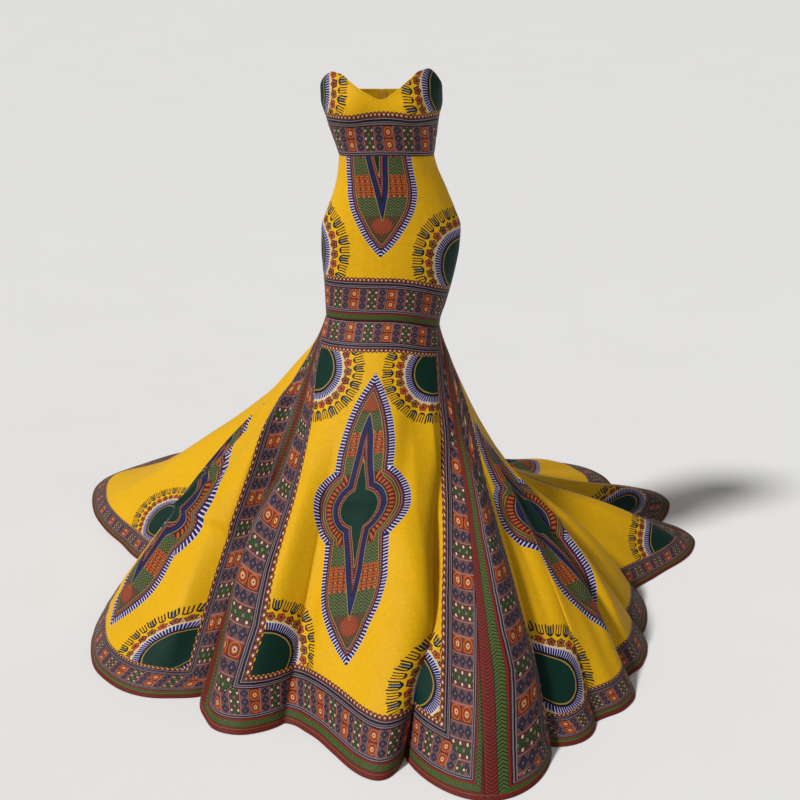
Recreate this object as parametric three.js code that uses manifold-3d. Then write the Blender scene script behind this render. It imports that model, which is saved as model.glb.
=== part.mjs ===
import * as THREE from 'three';
import { mergeVertices } from 'three/addons/utils/BufferGeometryUtils.js';
import Module from 'manifold-3d';

// Strapless maxi dress, shown worn: fitted bodice and hip part, full gored skirt down to the floor.
// Millimetres, +Z up, origin at the centre of the waist, front towards -Y, +X to the viewer's right.
// A direction is an angle in degrees round +Z: 0 is the front, 90 the viewer's right, 180 the back.

// Driving sizes
const floorZ = -1180;
const clothThickness = 1.6;
const seamGap = 0.3;
const hemZ = floorZ + clothThickness;

// Rows across each piece, from its lower edge to its top edge
const bodiceRows = 8;
const hipRows = 9;
const skirtRows = 13;

// Degrees between the stations round each piece
const bodiceStep = 5.6;
const skirtStep = 3.7;
const frontGoreStep = 2.1;

// Sections of the fitted part. z: height over the waist, half: half width,
// front and back: depth before and behind the centre, shift: centre's x, as the weight rests on one hip
const sections = [
  { z: -520, half: 148, front: 118, back: 118, shift: -12 },
  { z: -480, half: 146, front: 114, back: 112, shift: -12 },
  { z: -430, half: 144, front: 110, back: 108, shift: -10 },
  { z: -378, half: 152, front: 108, back: 112, shift: -3 },
  { z: -326, half: 160, front: 106, back: 120, shift: 3 },
  { z: -287, half: 166, front: 104, back: 128, shift: 6 },
  { z: -236, half: 172, front: 102, back: 134, shift: 9 },
  { z: -190, half: 173, front: 100, back: 132, shift: 11 },
  { z: -137, half: 156, front: 97, back: 118, shift: 11 },
  { z: -94, half: 140, front: 94, back: 102, shift: 10 },
  { z: -34, half: 121, front: 92, back: 88, shift: 3 },
  { z: -5, half: 117, front: 92, back: 85, shift: 0 },
  { z: 18, half: 121, front: 94, back: 86, shift: -2 },
  { z: 54, half: 130, front: 100, back: 90, shift: -6 },
  { z: 88, half: 137, front: 108, back: 94, shift: -9 },
  { z: 130, half: 147, front: 110, back: 96, shift: -11 },
  { z: 160, half: 147, front: 106, back: 96, shift: -12 },
  { z: 190, half: 136, front: 96, back: 94, shift: -13 },
  { z: 215, half: 128, front: 88, back: 92, shift: -13 },
];

// Soft cups of the bodice: how far they stand out, their centres and their spread
const cups = { out: 20, x: 78, z: 128, spreadX: 44, spreadZ: 46 };

// Height of the neckline, waist seam and hip seam in each direction
const neckline = [
  { angle: -180, z: 138 }, { angle: -150, z: 140 }, { angle: -120, z: 150 }, { angle: -92, z: 172 },
  { angle: -75, z: 192 }, { angle: -60, z: 203 }, { angle: -45, z: 200 }, { angle: -30, z: 184 },
  { angle: -15, z: 164 }, { angle: 0, z: 147 }, { angle: 15, z: 168 }, { angle: 30, z: 190 },
  { angle: 45, z: 207 }, { angle: 60, z: 210 }, { angle: 75, z: 197 }, { angle: 92, z: 174 },
  { angle: 120, z: 150 }, { angle: 150, z: 140 }, { angle: 180, z: 138 },
];
const waistSeam = [
  { angle: -180, z: 0 }, { angle: -90, z: -4 }, { angle: 0, z: 10 }, { angle: 90, z: -4 }, { angle: 180, z: 0 },
];
const hipSeam = [
  { angle: -180, z: -425 }, { angle: -90, z: -413 }, { angle: 0, z: -398 }, { angle: 90, z: -440 },
  { angle: 180, z: -425 },
];

// Gore joins: direction at the hem, and where the same line of cloth starts on the hip seam
const goreJoins = { frontLeft: -36, frontRight: 12, backRight: 112, centreBack: 180, backLeft: -135 };
const seamDirections = [
  { hem: -180, seam: -180 }, { hem: -135, seam: -148 }, { hem: -36, seam: -90 }, { hem: 12, seam: 90 },
  { hem: 112, seam: 148 }, { hem: 180, seam: 180 },
];

// Hem without its folds: radius in each direction, and the skirt's height, as a share of the drop to
// the floor, at a quarter, half and three quarters of the way out
const flare = [
  { angle: -180, radius: 1010, quarter: 0.5, half: 0.2, last: 0.06 },
  { angle: -155, radius: 1050, quarter: 0.55, half: 0.25, last: 0.07 },
  { angle: -133, radius: 1030, quarter: 0.67, half: 0.36, last: 0.12 },
  { angle: -104, radius: 715, quarter: 0.75, half: 0.48, last: 0.23 },
  { angle: -70, radius: 685, quarter: 0.74, half: 0.5, last: 0.27 },
  { angle: -37, radius: 715, quarter: 0.73, half: 0.49, last: 0.26 },
  { angle: -18, radius: 730, quarter: 0.74, half: 0.5, last: 0.27 },
  { angle: 3, radius: 830, quarter: 0.74, half: 0.5, last: 0.26 },
  { angle: 25, radius: 870, quarter: 0.72, half: 0.48, last: 0.25 },
  { angle: 50, radius: 755, quarter: 0.68, half: 0.44, last: 0.24 },
  { angle: 89, radius: 665, quarter: 0.58, half: 0.34, last: 0.18 },
  { angle: 112, radius: 860, quarter: 0.5, half: 0.24, last: 0.09 },
  { angle: 135, radius: 965, quarter: 0.48, half: 0.2, last: 0.06 },
  { angle: 158, radius: 940, quarter: 0.48, half: 0.19, last: 0.05 },
  { angle: 180, radius: 1010, quarter: 0.5, half: 0.2, last: 0.06 },
];
const firstDrop = { out: 0.03, height: 0.965 };

// The cloth by the front right join swings sideways halfway down: how far, and over how many degrees
const joinSwing = { out: 30, spread: 26 };

// Folds of the skirt, one row for each from its sharp valley on. swell: how far its ridge stands out at
// the hem, lift: how far it rises where the cloth lies flat, peak: where the ridge lies between this
// valley and the next, start: how far down the skirt the fold begins
const folds = [
  { valley: -180, swell: 80, lift: 50, peak: 0.5, start: 0.35 },
  { valley: -157, swell: 140, lift: 60, peak: 0.5, start: 0.3 },
  { valley: -104, swell: 145, lift: 40, peak: 0.72, start: 0.2 },
  { valley: -37.4, swell: 100, lift: 30, peak: 0.55, start: 0.25 },
  { valley: -18.6, swell: 115, lift: 30, peak: 0.78, start: 0.25 },
  { valley: 3, swell: 175, lift: 30, peak: 0.45, start: 0.3 },
  { valley: 25, swell: 30, lift: 10, peak: 0.5, start: 0.5 },
  { valley: 35, swell: 50, lift: 30, peak: 0.6, start: 0.4 },
  { valley: 50, swell: 20, lift: 20, peak: 0.5, start: 0.4 },
  { valley: 68, swell: 15, lift: 20, peak: 0.5, start: 0.4 },
  { valley: 89, swell: 90, lift: 50, peak: 0.6, start: 0.35 },
  { valley: 118, swell: 90, lift: 60, peak: 0.5, start: 0.35 },
  { valley: 135, swell: 90, lift: 50, peak: 0.5, start: 0.35 },
  { valley: 157, swell: 90, lift: 50, peak: 0.5, start: 0.35 },
  { valley: 180, swell: 0, lift: 0, peak: 0.5, start: 0.35 },
];
const foldRoundness = 0.8;
const foldGrowth = 1.2;
const liftShape = 4.8;

// Concealed zip at the centre back: a tape inside the wall, the slider and its hanging tab outside.
// The tab's crossbar turns under the slider's bridge
const tape = { halfShare: 0.8, thickness: 0.8, hipRowsCovered: 5, topShort: 6 };
const slider = { z: 128, width: 6.4, height: 9, depth: 1.6, cornerRadius: 1.8 };
const bridge = { thickness: 1.2, length: 5.6, rise: 3.1, legs: 1 };
const tab = {
  width: 5.4, length: 21, thickness: 1, crossbarHeight: 1.05, eyeWidth: 2, eyeLength: 4.2, taper: 0.7,
};
const arcSteps = 6;

const radians = THREE.MathUtils.degToRad;

// Smooth curve through a table's rows that never overshoots them
function curve(rows, from, to) {
  const slopeOf = (a, b) => (b[to] - a[to]) / (b[from] - a[from]);
  const tangent = (i) => {
    if (i === 0) return slopeOf(rows[0], rows[1]);
    if (i === rows.length - 1) return slopeOf(rows[i - 1], rows[i]);
    const before = slopeOf(rows[i - 1], rows[i]);
    const after = slopeOf(rows[i], rows[i + 1]);
    return before * after <= 0 ? 0 : (2 * before * after) / (before + after);
  };
  return (value) => {
    if (value <= rows[0][from]) return rows[0][to];
    if (value >= rows[rows.length - 1][from]) return rows[rows.length - 1][to];
    const i = rows.findIndex((row, n) => value <= rows[n + 1][from]);
    const span = rows[i + 1][from] - rows[i][from];
    const s = (value - rows[i][from]) / span;
    return rows[i][to] * (1 + 2 * s) * (1 - s) ** 2 + tangent(i) * span * s * (1 - s) ** 2
      + rows[i + 1][to] * s * s * (3 - 2 * s) + tangent(i + 1) * span * s * s * (s - 1);
  };
}

const halfAt = curve(sections, 'z', 'half');
const frontAt = curve(sections, 'z', 'front');
const backAt = curve(sections, 'z', 'back');
const shiftAt = curve(sections, 'z', 'shift');
const neckAt = curve(neckline, 'angle', 'z');
const waistAt = curve(waistSeam, 'angle', 'z');
const hipAt = curve(hipSeam, 'angle', 'z');
const seamDirectionAt = curve(seamDirections, 'hem', 'seam');
const hemRadiusAt = curve(flare, 'angle', 'radius');
const quarterAt = curve(flare, 'angle', 'quarter');
const halfHeightAt = curve(flare, 'angle', 'half');
const lastAt = curve(flare, 'angle', 'last');

// Keeps a direction between -180 and 180
const wrap = (angle) => (angle > 180 ? angle - 360 : angle);

// Outer surface of the fitted part in one direction and at one height
function fittedPoint(angle, z) {
  const a = radians(angle);
  const depth = Math.cos(a) > 0 ? frontAt(z) : backAt(z);
  const x = halfAt(z) * Math.sin(a);
  let y = -depth * Math.cos(a);
  if (Math.cos(a) > 0) {
    for (const side of [-1, 1]) {
      const acrossCup = (x - side * cups.x) / cups.spreadX;
      const upCup = (z - cups.z) / cups.spreadZ;
      y -= cups.out * Math.exp(-(acrossCup ** 2) - upCup ** 2);
    }
  }
  return new THREE.Vector3(shiftAt(z) + x, y, z);
}

// The fold that a direction lies in, and how high up its round ridge the direction is, 0 to 1
function foldAt(angle) {
  const i = folds.findIndex((row, n) => n < folds.length - 1 && angle <= folds[n + 1].valley);
  const row = folds[i];
  const across = (angle - row.valley) / (folds[i + 1].valley - row.valley);
  const skewed = across ** (Math.log(0.5) / Math.log(row.peak));
  return { row, ridge: Math.max(0, Math.sin(Math.PI * skewed)) ** foldRoundness };
}

// Outer surface of the skirt: direction at the hem, and way down from the hip seam, 0, to the hem, 1
function skirtPoint(direction, way) {
  const angle = wrap(direction);
  const seamAngle = seamDirectionAt(angle);
  const top = fittedPoint(seamAngle, hipAt(seamAngle) - seamGap);
  const profile = curve([
    { way: 0, height: 1 },
    { way: firstDrop.out, height: firstDrop.height },
    { way: 0.25, height: quarterAt(angle) },
    { way: 0.5, height: halfHeightAt(angle) },
    { way: 0.75, height: lastAt(angle) },
    { way: 1, height: 0 },
  ], 'way', 'height');
  const { row, ridge } = foldAt(angle);
  const grown = Math.max(0, (way - row.start) / (1 - row.start)) ** foldGrowth;
  const a = radians(angle);
  const outward = new THREE.Vector3(Math.sin(a), -Math.cos(a), 0);
  const point = top.clone().lerp(outward.clone().multiplyScalar(hemRadiusAt(angle)), way);
  point.addScaledVector(outward, row.swell * ridge * grown);
  const sideways = new THREE.Vector3(Math.cos(a), Math.sin(a), 0);
  const nearJoin = Math.exp(-(((angle - goreJoins.frontRight) / joinSwing.spread) ** 2));
  point.addScaledVector(sideways, joinSwing.out * nearJoin * Math.sin(Math.PI * way));
  const lift = row.lift * ridge * liftShape * grown * (1 - way);
  point.z = hemZ + (top.z - hemZ) * profile(way) + lift;
  return point;
}

// One place on a cloth surface, with its direction across and its outward normal
function clothFrame(surface, across, up) {
  const step = 1e-3;
  const alongAcross = surface(across + step, up).sub(surface(across - step, up)).normalize();
  const alongUp = surface(across, Math.min(1, up + step)).sub(surface(across, Math.max(0, up - step)));
  return { point: surface(across, up), alongAcross, normal: alongAcross.clone().cross(alongUp).normalize() };
}

// Closed wall of cloth whose outer face follows surface(across, up). Both run in rising order, and
// across runs to the viewer's right seen from outside. Side edges keep half a seam gap each.
function clothWall(surface, acrossStations, upStations) {
  const lastAcross = acrossStations.length - 1;
  const outer = [];
  const inner = [];
  acrossStations.forEach((across, i) => {
    upStations.forEach((up) => {
      const { point, alongAcross, normal } = clothFrame(surface, across, up);
      if (i === 0) point.addScaledVector(alongAcross, seamGap / 2);
      if (i === lastAcross) point.addScaledVector(alongAcross, -seamGap / 2);
      const behind = point.clone().addScaledVector(normal, -clothThickness);
      outer.push(point);
      inner.push(behind);
    });
  });
  return wallGeometry(outer, inner, acrossStations.length, upStations.length);
}

// Solid between two grids of points, outer face first
function wallGeometry(outer, inner, columns, rows) {
  const points = [...outer, ...inner];
  const index = [];
  const at = (side, i, j) => side * columns * rows + i * rows + j;
  const quad = (a, b, c, d) => index.push(a, b, c, a, c, d);
  for (let i = 0; i < columns - 1; i += 1) {
    for (let j = 0; j < rows - 1; j += 1) {
      quad(at(0, i, j), at(0, i + 1, j), at(0, i + 1, j + 1), at(0, i, j + 1));
      quad(at(1, i, j), at(1, i, j + 1), at(1, i + 1, j + 1), at(1, i + 1, j));
    }
    quad(at(0, i, 0), at(1, i, 0), at(1, i + 1, 0), at(0, i + 1, 0));
    quad(at(0, i, rows - 1), at(0, i + 1, rows - 1), at(1, i + 1, rows - 1), at(1, i, rows - 1));
  }
  for (let j = 0; j < rows - 1; j += 1) {
    quad(at(0, 0, j), at(0, 0, j + 1), at(1, 0, j + 1), at(1, 0, j));
    quad(at(0, columns - 1, j), at(1, columns - 1, j), at(1, columns - 1, j + 1), at(0, columns - 1, j + 1));
  }
  const geometry = new THREE.BufferGeometry();
  geometry.setAttribute('position', new THREE.Float32BufferAttribute(points.flatMap((p) => p.toArray()), 3));
  geometry.setIndex(index);
  return geometry;
}

// Even stations from one value to another, about a step apart
function evenStations(from, to, step) {
  const count = Math.max(1, Math.round((to - from) / step));
  return Array.from({ length: count + 1 }, (unused, i) => from + ((to - from) * i) / count);
}

// Stations round a gore that hit every valley of its folds
function foldStations(from, to, step) {
  const valleys = [...folds, ...folds.map((row) => ({ valley: row.valley + 360 }))]
    .map((row) => row.valley).filter((angle) => angle > from + 1 && angle < to - 1);
  const stops = [from, ...new Set(valleys), to];
  return [from, ...stops.slice(1).flatMap((stop, i) => evenStations(stops[i], stop, step).slice(1))];
}

const shares = (count) => Array.from({ length: count + 1 }, (unused, i) => i / count);

const printedCotton = { color: 0xd9a417, roughness: 0.82, metalness: 0 };
const zipMetal = { color: 0xc8c6c0, roughness: 0.35, metalness: 1 };
const dress = new THREE.Group();

function addPiece(name, geometry, finish) {
  const mesh = new THREE.Mesh(geometry, new THREE.MeshStandardMaterial(finish));
  mesh.name = name;
  dress.add(mesh);
  return mesh;
}

// Bodice, from the waist seam to the top edge
function bodiceSurface(angle, up) {
  const direction = wrap(angle);
  const low = waistAt(direction) + seamGap / 2;
  return fittedPoint(direction, low + (neckAt(direction) - low) * up);
}

function addBodicePanel(name, from, to) {
  const stations = evenStations(from, to, bodiceStep);
  addPiece(name, clothWall(bodiceSurface, stations, shares(bodiceRows)), printedCotton);
}
addBodicePanel('bodice_front', -90, 90);
addBodicePanel('bodice_back_right', 90, 180);
addBodicePanel('bodice_back_left', 180, 270);

// Hip part, from the hip seam to the waist seam
function hipSurface(angle, up) {
  const direction = wrap(angle);
  const low = hipAt(direction);
  return fittedPoint(direction, low + (waistAt(direction) - seamGap / 2 - low) * up);
}

function addHipPanel(name, from, to) {
  addPiece(name, clothWall(hipSurface, evenStations(from, to, bodiceStep), shares(hipRows)), printedCotton);
}
addHipPanel('hip_front', -90, 90);
addHipPanel('hip_back_right', 90, 180);
addHipPanel('hip_back_left', 180, 270);

// Skirt gores, from the hem to the hip seam
function addGore(name, from, to, step = skirtStep) {
  const surface = (direction, up) => skirtPoint(direction, 1 - up);
  addPiece(name, clothWall(surface, foldStations(from, to, step), shares(skirtRows)), printedCotton);
}
addGore('skirt_front', goreJoins.frontLeft, goreJoins.frontRight, frontGoreStep);
addGore('skirt_right', goreJoins.frontRight, goreJoins.backRight);
addGore('skirt_left', goreJoins.backLeft, goreJoins.frontLeft);
addGore('skirt_back_right', goreJoins.backRight, goreJoins.centreBack);
addGore('skirt_back_left', goreJoins.centreBack, goreJoins.backLeft + 360);

// Zip tape, one strip made from the back wall's own points, moved inside it
function addZipTape() {
  const column = evenStations(180, 270, bodiceStep)[1] - 180;
  const bodiceBack = neckAt(180) - waistAt(180);
  const stations = [
    ...shares(hipRows).slice(-tape.hipRowsCovered - 1).map((up) => ({ surface: hipSurface, up })),
    ...shares(bodiceRows).slice(0, -1).map((up) => ({ surface: bodiceSurface, up })),
    { surface: bodiceSurface, up: 1 - tape.topShort / bodiceBack },
  ];
  const insideBy = clothThickness + seamGap;
  const outer = [];
  const inner = [];
  [-1, 0, 1].forEach((side) => {
    stations.forEach(({ surface, up }) => {
      const middle = clothFrame(surface, 180, up);
      const edge = clothFrame(surface, 180 + side * column, up);
      const point = middle.point.clone().addScaledVector(middle.normal, -insideBy);
      const edgeInside = edge.point.clone().addScaledVector(edge.normal, -insideBy);
      point.lerp(edgeInside, Math.abs(side) * tape.halfShare);
      outer.push(point);
      inner.push(point.clone().addScaledVector(middle.normal, -tape.thickness));
    });
  });
  addPiece('zip_tape', wallGeometry(outer, inner, 3, stations.length), printedCotton);
}
addZipTape();

// Rectangle with round corners, centred on the origin
function roundedRectangle(width, height, radius) {
  const shape = new THREE.Shape();
  const x = width / 2;
  const y = height / 2;
  shape.absarc(x - radius, -y + radius, radius, -Math.PI / 2, 0);
  shape.absarc(x - radius, y - radius, radius, 0, Math.PI / 2);
  shape.absarc(-x + radius, y - radius, radius, Math.PI / 2, Math.PI);
  shape.absarc(-x + radius, -y + radius, radius, Math.PI, Math.PI * 1.5);
  return shape;
}

const wasm = await Module();
wasm.setup();

function toSolid(geometry) {
  const bare = geometry.clone();
  bare.deleteAttribute('normal');
  bare.deleteAttribute('uv');
  const merged = mergeVertices(bare, 1e-4);
  return new wasm.Manifold(new wasm.Mesh({
    numProp: 3, vertProperties: merged.attributes.position.array, triVerts: new Uint32Array(merged.index.array),
  }));
}

function toGeometry(solid) {
  const { vertProperties, triVerts } = solid.getMesh();
  const geometry = new THREE.BufferGeometry();
  geometry.setAttribute('position', new THREE.BufferAttribute(new Float32Array(vertProperties), 3));
  geometry.setIndex(new THREE.BufferAttribute(new Uint32Array(triVerts), 1));
  return geometry;
}

// Slider and tab: local Y points out of the cloth, local Z up, origin on the cloth's outer face
function addSlider(place) {
  const options = { depth: slider.depth, bevelEnabled: false, curveSegments: arcSteps };
  const plate = new THREE.ExtrudeGeometry(roundedRectangle(slider.width, slider.height, slider.cornerRadius), options);
  plate.rotateX(-Math.PI / 2);
  const half = bridge.length / 2;
  const inside = half - bridge.legs;
  const arch = new THREE.Shape();
  arch.moveTo(-half, -slider.depth / 2);
  arch.lineTo(-inside, -slider.depth / 2);
  arch.lineTo(-inside, bridge.rise - bridge.legs);
  arch.lineTo(inside, bridge.rise - bridge.legs);
  arch.lineTo(inside, -slider.depth / 2);
  arch.lineTo(half, -slider.depth / 2);
  arch.absarc(half - bridge.legs, bridge.rise - bridge.legs, bridge.legs, 0, Math.PI / 2);
  arch.absarc(-half + bridge.legs, bridge.rise - bridge.legs, bridge.legs, Math.PI / 2, Math.PI);
  const archSolid = new THREE.ExtrudeGeometry(arch, {
    depth: bridge.thickness, bevelEnabled: false, curveSegments: arcSteps,
  });
  archSolid.translate(0, 0, -bridge.thickness / 2);
  archSolid.applyMatrix4(new THREE.Matrix4().makeBasis(
    new THREE.Vector3(0, 0, -1), new THREE.Vector3(0, 1, 0), new THREE.Vector3(1, 0, 0),
  ));
  archSolid.translate(0, slider.depth, 0);
  addPiece('zip_slider', toGeometry(toSolid(plate).add(toSolid(archSolid))), zipMetal).position.copy(place);
}

function addTab(place) {
  const top = tab.thickness / 2;
  const halfWidth = tab.width / 2;
  const outline = new THREE.Shape();
  outline.moveTo(halfWidth - tab.taper, top);
  outline.lineTo(-halfWidth + tab.taper, top);
  outline.absarc(0, halfWidth - tab.length, halfWidth, Math.PI, Math.PI * 2);
  const eye = new THREE.Path();
  eye.moveTo(-tab.eyeWidth / 2, -top);
  eye.lineTo(tab.eyeWidth / 2, -top);
  eye.lineTo(tab.eyeWidth / 2, -tab.eyeLength);
  eye.lineTo(-tab.eyeWidth / 2, -tab.eyeLength);
  outline.holes.push(eye);
  const geometry = new THREE.ExtrudeGeometry(outline, {
    depth: tab.thickness, bevelEnabled: false, curveSegments: arcSteps,
  });
  geometry.translate(0, 0, -tab.thickness / 2);
  geometry.rotateX(Math.PI / 2);
  const mesh = addPiece('zip_pull', geometry, zipMetal);
  mesh.position.copy(place).add(new THREE.Vector3(0, slider.depth + tab.crossbarHeight, 0));
}

const sliderPlace = new THREE.Vector3(shiftAt(slider.z), backAt(slider.z) + seamGap, slider.z);
addSlider(sliderPlace);
addTab(sliderPlace);

export default dress;
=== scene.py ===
import math

import bmesh
import bpy
import numpy as np
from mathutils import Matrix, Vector


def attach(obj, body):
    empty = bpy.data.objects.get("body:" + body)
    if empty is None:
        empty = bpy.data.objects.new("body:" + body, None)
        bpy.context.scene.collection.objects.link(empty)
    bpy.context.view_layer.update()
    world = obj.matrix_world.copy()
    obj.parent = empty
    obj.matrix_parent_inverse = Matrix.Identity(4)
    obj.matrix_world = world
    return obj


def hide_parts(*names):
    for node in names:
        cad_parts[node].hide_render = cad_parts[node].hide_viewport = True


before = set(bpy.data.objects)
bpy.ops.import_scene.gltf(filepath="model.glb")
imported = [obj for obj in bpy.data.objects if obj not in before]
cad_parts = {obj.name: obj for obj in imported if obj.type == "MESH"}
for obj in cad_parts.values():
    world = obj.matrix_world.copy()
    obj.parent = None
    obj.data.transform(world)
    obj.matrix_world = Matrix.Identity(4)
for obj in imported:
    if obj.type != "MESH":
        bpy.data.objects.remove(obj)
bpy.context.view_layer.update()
print("1 of 6: packed frame loaded")


def newObject(name, data):
    thing = bpy.data.objects.new(name, data)
    bpy.context.collection.objects.link(thing)
    return thing


# camera first, where the photographer stood
photoView = {"place": (0.033, -4.0, 0.82), "tiltDegrees": 69.9, "lens": 74.5}
cameraData = bpy.data.cameras.new("photo_view")
cameraData.lens = photoView["lens"]
camera = newObject("photo_view", cameraData)
camera.location = photoView["place"]
camera.rotation_euler = (math.radians(photoView["tiltDegrees"]), 0, 0)
bpy.context.scene.camera = camera

# the dress's surfaces, in millimetres, with the same sizes as the solids
# a direction is in degrees round +Z: 0 is the front, 90 the viewer's right, 180 the back
figure = {
    "floor": -1180,
    "clothThickness": 1.6,
    "seamGap": 0.3,
    # height over the waist, half width, depth in front, depth behind, centre's x
    "sections": [
        (-520, 148, 118, 118, -12), (-480, 146, 114, 112, -12), (-430, 144, 110, 108, -10),
        (-378, 152, 108, 112, -3), (-326, 160, 106, 120, 3), (-287, 166, 104, 128, 6),
        (-236, 172, 102, 134, 9), (-190, 173, 100, 132, 11), (-137, 156, 97, 118, 11),
        (-94, 140, 94, 102, 10), (-34, 121, 92, 88, 3), (-5, 117, 92, 85, 0), (18, 121, 94, 86, -2),
        (54, 130, 100, 90, -6), (88, 137, 108, 94, -9), (130, 147, 110, 96, -11),
        (160, 147, 106, 96, -12), (190, 136, 96, 94, -13), (215, 128, 88, 92, -13),
    ],
    "cups": {"out": 20, "x": 78, "z": 128, "spreadX": 44, "spreadZ": 46},
    # direction, height
    "neckline": [
        (-180, 138), (-150, 140), (-120, 150), (-92, 172), (-75, 192), (-60, 203), (-45, 200),
        (-30, 184), (-15, 164), (0, 147), (15, 168), (30, 190), (45, 207), (60, 210), (75, 197),
        (92, 174), (120, 150), (150, 140), (180, 138),
    ],
    "waistSeam": [(-180, 0), (-90, -4), (0, 10), (90, -4), (180, 0)],
    "hipSeam": [(-180, -425), (-90, -413), (0, -398), (90, -440), (180, -425)],
    # a join's direction at the hem, and on the hip seam
    "seamDirections": [(-180, -180), (-135, -148), (-36, -90), (12, 90), (112, 148), (180, 180)],
    # direction, hem radius, height a quarter, half and three quarters of the way out
    "flare": [
        (-180, 1010, 0.5, 0.2, 0.06), (-155, 1050, 0.55, 0.25, 0.07), (-133, 1030, 0.67, 0.36, 0.12),
        (-104, 715, 0.75, 0.48, 0.23), (-70, 685, 0.74, 0.5, 0.27), (-37, 715, 0.73, 0.49, 0.26),
        (-18, 730, 0.74, 0.5, 0.27), (3, 830, 0.74, 0.5, 0.26), (25, 870, 0.72, 0.48, 0.25),
        (50, 755, 0.68, 0.44, 0.24), (89, 665, 0.58, 0.34, 0.18), (112, 860, 0.5, 0.24, 0.09),
        (135, 965, 0.48, 0.2, 0.06), (158, 940, 0.48, 0.19, 0.05), (180, 1010, 0.5, 0.2, 0.06),
    ],
    "firstDrop": (0.03, 0.965),
    "joinSwing": {"direction": 12, "out": 30, "spread": 26},
    # valley, swell at the hem, lift, where the ridge peaks, how far down it starts
    "folds": [
        (-180, 80, 50, 0.5, 0.35), (-157, 140, 60, 0.5, 0.3), (-104, 145, 40, 0.72, 0.2),
        (-37.4, 100, 30, 0.55, 0.25), (-18.6, 115, 30, 0.78, 0.25), (3, 175, 30, 0.45, 0.3),
        (25, 30, 10, 0.5, 0.5), (35, 50, 30, 0.6, 0.4), (50, 20, 20, 0.5, 0.4),
        (68, 15, 20, 0.5, 0.4), (89, 90, 50, 0.6, 0.35), (118, 90, 60, 0.5, 0.35),
        (135, 90, 50, 0.5, 0.35), (157, 90, 50, 0.5, 0.35), (180, 0, 0, 0.5, 0.35),
    ],
    "foldRoundness": 0.8,
    "foldGrowth": 1.2,
    "liftShape": 4.8,
}
hemHeight = figure["floor"] + figure["clothThickness"]


def hermite(x, y, value):  # smooth curve through rows that never overshoots them, for whole arrays
    x = np.asarray(x, float)
    slopes = [(y[i + 1] - y[i]) / (x[i + 1] - x[i]) for i in range(len(x) - 1)]
    leans = [slopes[0]]
    for before, after in zip(slopes[:-1], slopes[1:]):
        same = before * after > 0
        leans.append(np.where(same, 2 * before * after / np.where(same, before + after, 1), 0))
    leans.append(slopes[-1])
    value = np.clip(value, x[0], x[-1])
    result = np.zeros(np.shape(value))
    for i in range(len(x) - 1):
        span = x[i + 1] - x[i]
        s = (value - x[i]) / span
        part = (y[i] * (1 + 2 * s) * (1 - s) ** 2 + leans[i] * span * s * (1 - s) ** 2
                + y[i + 1] * s * s * (3 - 2 * s) + leans[i + 1] * span * s * s * (s - 1))
        here = (value >= x[i]) & (value <= x[i + 1])
        result = np.where(here, part, result)
    return result


def curve(rows, column):
    x = [row[0] for row in rows]
    y = [float(row[column]) for row in rows]
    return lambda value: hermite(x, y, value)


halfAt, frontAt, backAt, shiftAt = [curve(figure["sections"], i) for i in (1, 2, 3, 4)]
neckAt = curve(figure["neckline"], 1)
waistAt = curve(figure["waistSeam"], 1)
hipAt = curve(figure["hipSeam"], 1)
seamDirectionAt = curve(figure["seamDirections"], 1)
hemRadiusAt, quarterAt, middleAt, lastAt = [curve(figure["flare"], i) for i in (1, 2, 3, 4)]


def wrap(angle):
    return np.where(angle > 180, angle - 360, angle)


def fittedPoint(angle, z):  # outer face of the bodice and hip part
    a = np.radians(angle)
    x = halfAt(z) * np.sin(a)
    ahead = np.cos(a) > 0
    y = -np.where(ahead, frontAt(z), backAt(z)) * np.cos(a)
    cups = figure["cups"]
    for side in (-1, 1):
        across = (x - side * cups["x"]) / cups["spreadX"]
        above = (z - cups["z"]) / cups["spreadZ"]
        y = y - np.where(ahead, cups["out"] * np.exp(-(across ** 2) - above ** 2), 0)
    return np.stack([shiftAt(z) + x, y, z], axis=-1)


def bodiceSurface(angle, up):
    direction = wrap(angle)
    low = waistAt(direction) + figure["seamGap"] / 2
    return fittedPoint(direction, low + (neckAt(direction) - low) * up)


def hipSurface(angle, up):
    direction = wrap(angle)
    low = hipAt(direction)
    return fittedPoint(direction, low + (waistAt(direction) - figure["seamGap"] / 2 - low) * up)


def foldAt(angle):  # swell, lift, start and height up the ridge of the fold in each direction
    rows = np.array(figure["folds"], float)
    i = np.clip(np.searchsorted(rows[:, 0], angle, side="left") - 1, 0, len(rows) - 2)
    across = np.clip((angle - rows[i, 0]) / (rows[i + 1, 0] - rows[i, 0]), 0, 1)
    skewed = across ** (math.log(0.5) / np.log(rows[i, 3]))
    ridge = np.maximum(0, np.sin(math.pi * skewed)) ** figure["foldRoundness"]
    return rows[i, 1], rows[i, 2], rows[i, 4], ridge


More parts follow.
